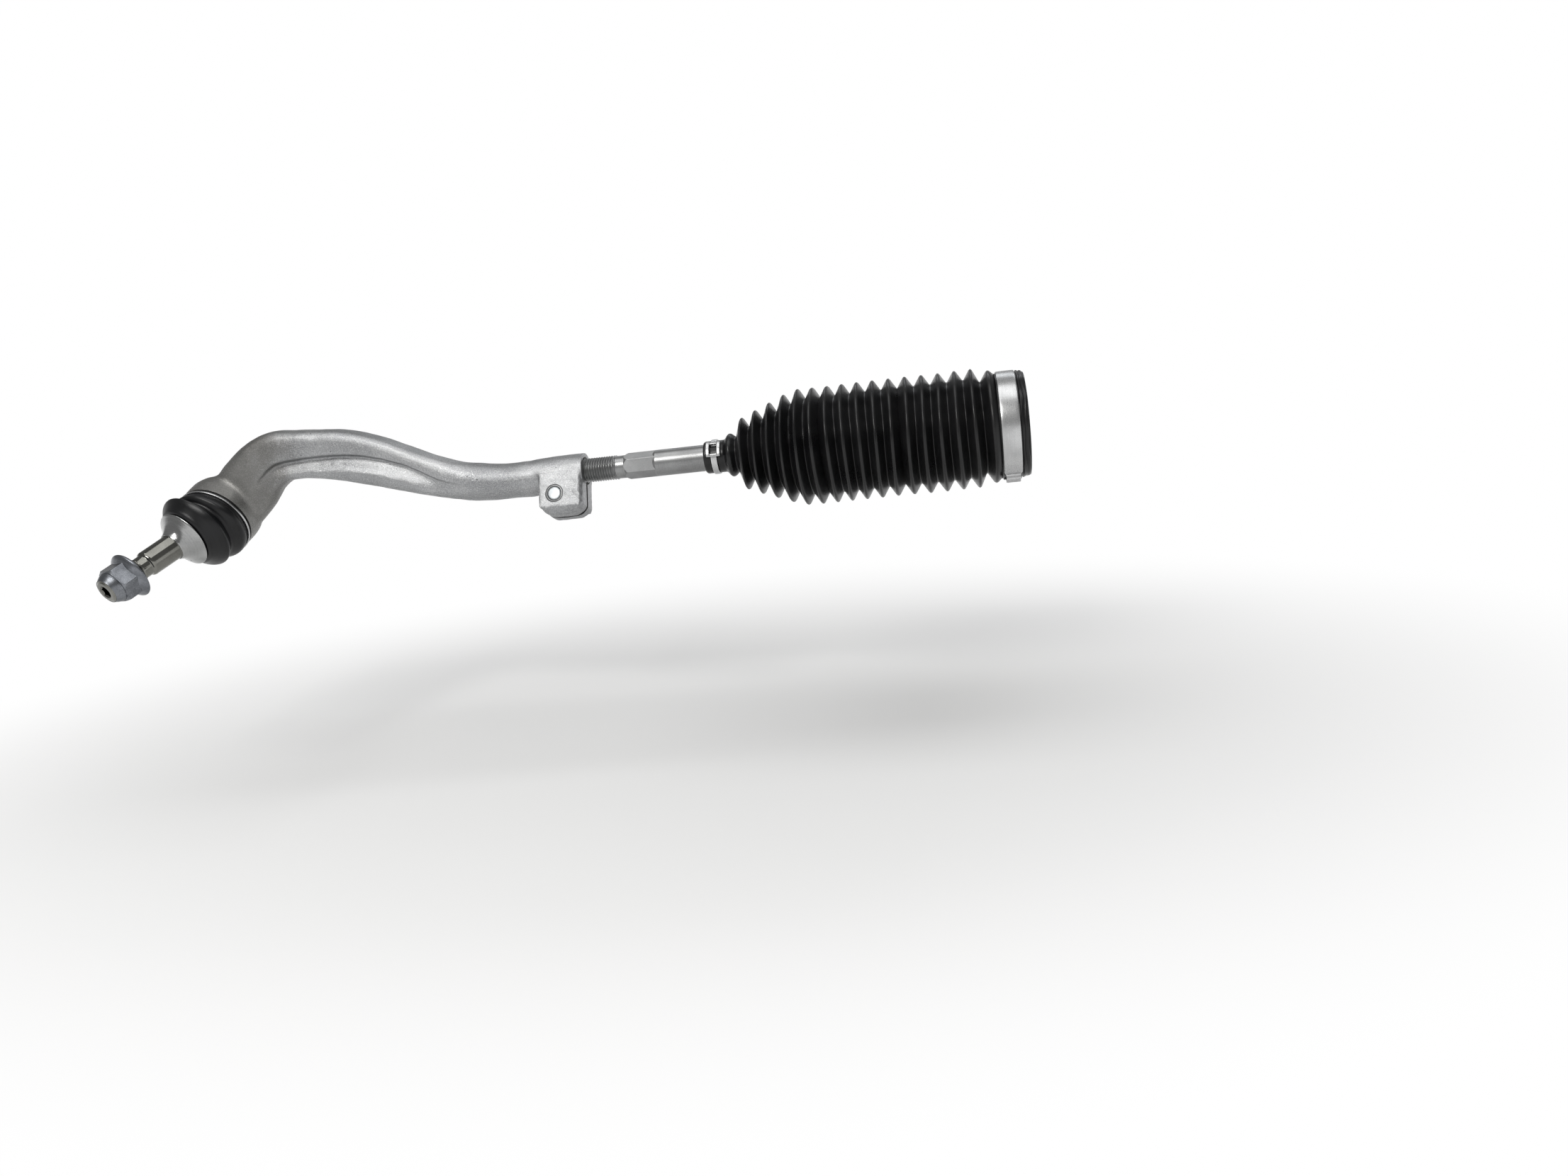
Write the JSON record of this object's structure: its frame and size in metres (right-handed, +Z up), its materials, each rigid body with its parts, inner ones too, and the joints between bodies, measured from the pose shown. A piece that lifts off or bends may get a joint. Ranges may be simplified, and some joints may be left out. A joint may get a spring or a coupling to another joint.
{
  "type": "steering tie rod",
  "caption": "Steering tie rod with a clamped curved outer ball joint, threaded rod, inner ball joint and bellows.",
  "frame": {"origin": "centre of the rack stud's shoulder, on the rod's axis, where the inner joint seats against the rack", "axes": "+X along the rod towards the rack, +Z up as in the picture, -Y towards the viewer and the knuckle stud"},
  "size_m": [0.5182, 0.1155, 0.0771],
  "materials": {
    "forged_steel": "satin machined steel, faint turning marks",
    "seat_plastic": "natural white acetal",
    "ring_steel": "bright spring steel",
    "gaiter_rubber": "matt black thermoplastic rubber",
    "band_steel": "bright stainless band",
    "rod_steel": "satin grey steel",
    "cast_aluminium": "grainy cast surface with small nicks",
    "zinc_steel": "bright zinc plate",
    "boot_rubber": "smooth black rubber with a soft sheen",
    "polished_steel": "polished shank",
    "collar_metal": "bright satin dish with small pits",
    "nut_steel": "grey zinc flake",
    "nylon": "natural nylon"
  },
  "bodies": {
    "rack_socket": {"rack_joint_socket": "forged_steel", "rack_ball_seat": "seat_plastic", "rack_seat_ring": "ring_steel"},
    "gaiter_mouth": {"gaiter_large_clamp": "band_steel"},
    "gaiter_body": {"gaiter": "gaiter_rubber"},
    "gaiter_cuff": {"gaiter_small_clamp": "band_steel"},
    "rod": {"tie_rod": "rod_steel"},
    "outer_end": {"outer_end": "cast_aluminium", "ear_thread_insert": "zinc_steel", "outer_ball_seat": "seat_plastic", "outer_end_cover": "ring_steel", "boot_housing_ring": "ring_steel"},
    "clamp_washer": {"clamp_washer": "zinc_steel"},
    "clamp_bolt": {"clamp_bolt": "zinc_steel"},
    "boot": {"dust_boot": "boot_rubber"},
    "boot_neck": {"boot_stud_ring": "ring_steel"},
    "stud": {"ball_stud": "polished_steel", "stud_collar": "collar_metal"},
    "nut_ring": {"nut_locking_ring": "nylon"},
    "nut": {"stud_nut": "nut_steel"}
  },
  "joints": [
    {"name": "gaiter_slide", "type": "slide", "parent": "rack_socket", "child": "gaiter_mouth", "axis": [1, 0, 0], "range_m": [-0.025, 0], "deforming": ["gaiter"]},
    {"name": "inner_pitch", "type": "hinge", "parent": "rack_socket", "child": "gaiter_body", "pos_m": [-0.034, 0, 0], "axis": [0, 1, 0], "range_deg": [-18, 18], "deforming": ["gaiter"]},
    {"name": "inner_yaw", "type": "hinge", "parent": "gaiter_body", "child": "gaiter_cuff", "pos_m": [-0.034, 0, 0], "axis": [0, 0, 1], "range_deg": [-18, 18], "deforming": ["gaiter"]},
    {"name": "rod_turn", "type": "hinge", "parent": "gaiter_cuff", "child": "rod", "pos_m": [-0.034, 0, 0], "axis": [1, 0, 0], "range_deg": [-2161, 2161]},
    {"name": "toe_adjust", "type": "slide", "parent": "gaiter_cuff", "child": "outer_end", "axis": [1, 0, 0], "range_m": [-0.009, 0.009]},
    {"name": "clamp_bolt_out", "type": "slide", "parent": "outer_end", "child": "clamp_washer", "axis": [0, 0.8829, -0.4695], "range_m": [0, 0.02501]},
    {"name": "clamp_bolt_turn", "type": "hinge", "parent": "clamp_washer", "child": "clamp_bolt", "pos_m": [-0.19962, -0.00676, -0.01271], "axis": [0, 0.8829, -0.4695], "range_deg": [0, 7200]},
    {"name": "stud_swing", "type": "hinge", "parent": "outer_end", "child": "boot", "pos_m": [-0.4115, -0.0038, -0.001], "axis": [-0.2759, 0.3853, -0.8806], "range_deg": [-32, 4], "deforming": ["dust_boot"]},
    {"name": "stud_sway", "type": "hinge", "parent": "boot", "child": "boot_neck", "pos_m": [-0.4115, -0.0038, -0.001], "axis": [-0.8871, 0.2506, 0.3876], "range_deg": [-18, 18], "deforming": ["dust_boot"]},
    {"name": "stud_spin", "type": "hinge", "parent": "boot_neck", "child": "stud", "pos_m": [-0.4115, -0.0038, -0.001], "axis": [-0.37, -0.8881, -0.2727], "continuous": true},
    {"name": "nut_off", "type": "slide", "parent": "stud", "child": "nut_ring", "axis": [-0.37, -0.8881, -0.2727], "range_m": [0, 0.04201]},
    {"name": "nut_turn", "type": "hinge", "parent": "nut_ring", "child": "nut", "pos_m": [-0.4115, -0.0038, -0.001], "axis": [-0.37, -0.8881, -0.2727], "range_deg": [0, 10080]}
  ],
  "couplings": [
    {"joint": "rod_turn", "follows": "toe_adjust", "rad_per_m": -4188.8},
    {"joint": "clamp_bolt_out", "follows": "clamp_bolt_turn", "m_per_rad": 0.00019894},
    {"joint": "nut_off", "follows": "nut_turn", "m_per_rad": 0.00023873}
  ]
}
